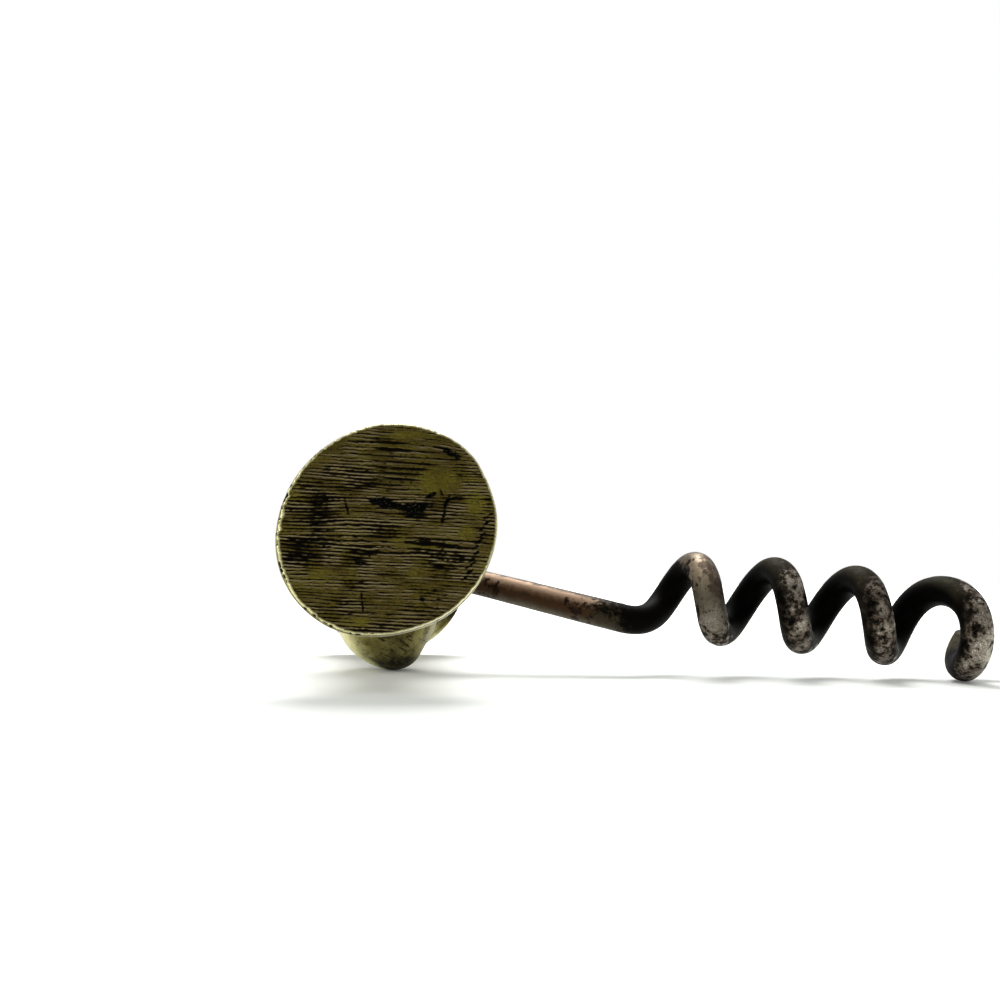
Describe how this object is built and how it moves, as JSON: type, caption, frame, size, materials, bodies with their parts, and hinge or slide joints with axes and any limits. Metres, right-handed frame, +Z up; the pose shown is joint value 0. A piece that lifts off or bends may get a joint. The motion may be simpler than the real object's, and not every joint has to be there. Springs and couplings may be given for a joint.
{
  "type": "corkscrew",
  "caption": "Direct-pull corkscrew: a brass T-handle with flared grips, flat round end plates and an egg-shaped hub, and a right-hand steel wire worm that is screwed into a cork.",
  "frame": {"origin": "centre of the underside of the whole part's box, on the table that it lies on", "axes": "+X towards the worm's point, +Y along the handle to its far plate (in plan), +Z up"},
  "size_m": [0.0744, 0.05, 0.0244],
  "materials": {
    "plate_brass": "hand-filed, with dark patina in the grooves",
    "handle_brass": "cast and worn, with patina",
    "worm_steel": "dark oxide, worn to bare metal on the outside",
    "pin_steel": "drawn wire"
  },
  "bodies": {
    "root": {"near_plate": "plate_brass", "near_grip": "handle_brass", "hub": "handle_brass", "cross_bar": "handle_brass", "far_grip": "handle_brass", "far_plate": "plate_brass", "worm": "worm_steel", "shank_collar": "handle_brass", "shank_rove": "handle_brass", "shank_pin": "pin_steel"}
  },
  "joints": []
}
